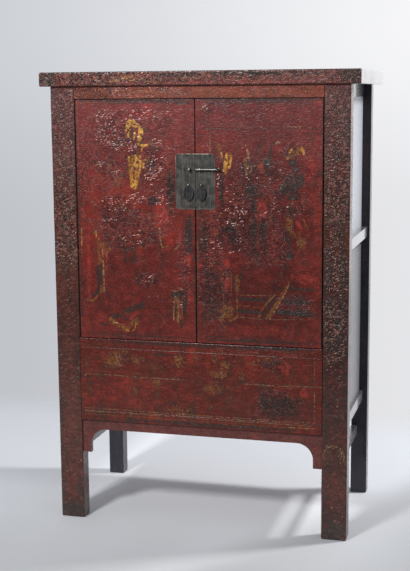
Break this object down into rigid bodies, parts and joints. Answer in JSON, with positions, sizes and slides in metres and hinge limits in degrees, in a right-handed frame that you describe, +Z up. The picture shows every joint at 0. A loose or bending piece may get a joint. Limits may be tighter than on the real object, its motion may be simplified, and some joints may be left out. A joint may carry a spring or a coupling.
{
  "type": "two door cabinet",
  "caption": "Tall lacquered wood cabinet on square legs: pivot doors with a split lock plate, shelf, lower compartment under a lift-out floor board, shaped apron.",
  "frame": {"origin": "middle of the outline on the floor, under the centre of the cabinet", "axes": "+Z up, -Y out of the front with its doors, +X to the viewer's right"},
  "size_m": [1.194, 0.62, 1.714],
  "materials": {
    "red_lacquer": "aged oxblood lacquer",
    "brown_red_lacquer": "aged crackled lacquer",
    "black_lacquer": "black lacquer",
    "bare_wood": "dry bare wood",
    "bronze": "dark patina"
  },
  "bodies": {
    "carcase": {"top_front_member": "brown_red_lacquer", "top_rear_member": "black_lacquer", "top_left_end": "black_lacquer", "top_right_end": "black_lacquer", "top_panel": "black_lacquer", "top_battens": "bare_wood", "front_left_post": "brown_red_lacquer", "front_right_post": "brown_red_lacquer", "rear_left_post": "black_lacquer", "rear_right_post": "black_lacquer", "front_top_rail": "brown_red_lacquer", "door_sill_rail": "brown_red_lacquer", "upper_front_board": "red_lacquer", "lower_front_board": "red_lacquer", "front_bottom_rail": "brown_red_lacquer", "front_apron": "red_lacquer", "left_side_top_rail": "black_lacquer", "left_side_mid_rail": "black_lacquer", "left_side_low_rail": "black_lacquer", "left_side_stretcher": "black_lacquer", "left_upper_side_panel": "black_lacquer", "left_lower_side_panel": "black_lacquer", "right_side_top_rail": "black_lacquer", "right_side_mid_rail": "black_lacquer", "right_side_low_rail": "black_lacquer", "right_side_stretcher": "black_lacquer", "right_upper_side_panel": "black_lacquer", "right_lower_side_panel": "black_lacquer", "rear_top_rail": "black_lacquer", "rear_mid_rail": "black_lacquer", "rear_low_rail": "black_lacquer", "rear_upper_panel": "black_lacquer", "rear_lower_panel": "black_lacquer", "shelf": "bare_wood", "bottom_boards": "bare_wood", "floor_bearers": "bare_wood", "fixed_floor_boards": "bare_wood"},
    "floor_lid": {"floor_lid": "bare_wood"},
    "left_door": {"left_door_hinge_stile": "red_lacquer", "left_door_meeting_stile": "red_lacquer", "left_door_top_rail": "red_lacquer", "left_door_bottom_rail": "red_lacquer", "left_door_panel": "red_lacquer", "left_door_battens": "bare_wood", "left_lock_plate": "bronze", "left_lock_staple": "bronze", "left_pull_eye": "bronze"},
    "left_pull": {"left_pull": "bronze"},
    "right_door": {"right_door_hinge_stile": "red_lacquer", "right_door_meeting_stile": "red_lacquer", "right_door_top_rail": "red_lacquer", "right_door_bottom_rail": "red_lacquer", "right_door_panel": "red_lacquer", "right_door_battens": "bare_wood", "right_lock_plate": "bronze", "right_lock_staple": "bronze", "right_pull_eye": "bronze"},
    "right_pull": {"right_pull": "bronze"},
    "lock_pin": {"lock_pin": "bronze"}
  },
  "joints": [
    {"name": "left_door_hinge", "type": "hinge", "parent": "carcase", "child": "left_door", "pos_m": [-0.448, -0.279, 1.167], "axis": [0, 0, -1], "range_deg": [0, 95]},
    {"name": "right_door_hinge", "type": "hinge", "parent": "carcase", "child": "right_door", "pos_m": [0.448, -0.279, 1.167], "axis": [0, 0, 1], "range_deg": [0, 95]},
    {"name": "lock_pin_slide", "type": "slide", "parent": "right_door", "child": "lock_pin", "axis": [1, 0, 0], "range_m": [-0.052, 0]},
    {"name": "left_pull_swing", "type": "hinge", "parent": "left_door", "child": "left_pull", "pos_m": [-0.028, -0.3017, 1.304], "axis": [-1, 0, 0], "range_deg": [0, 90]},
    {"name": "right_pull_swing", "type": "hinge", "parent": "right_door", "child": "right_pull", "pos_m": [0.02, -0.3017, 1.304], "axis": [-1, 0, 0], "range_deg": [0, 90]},
    {"name": "floor_lid_lift", "type": "slide", "parent": "carcase", "child": "floor_lid", "axis": [0, 0, 1], "range_m": [0, 0.12]}
  ]
}
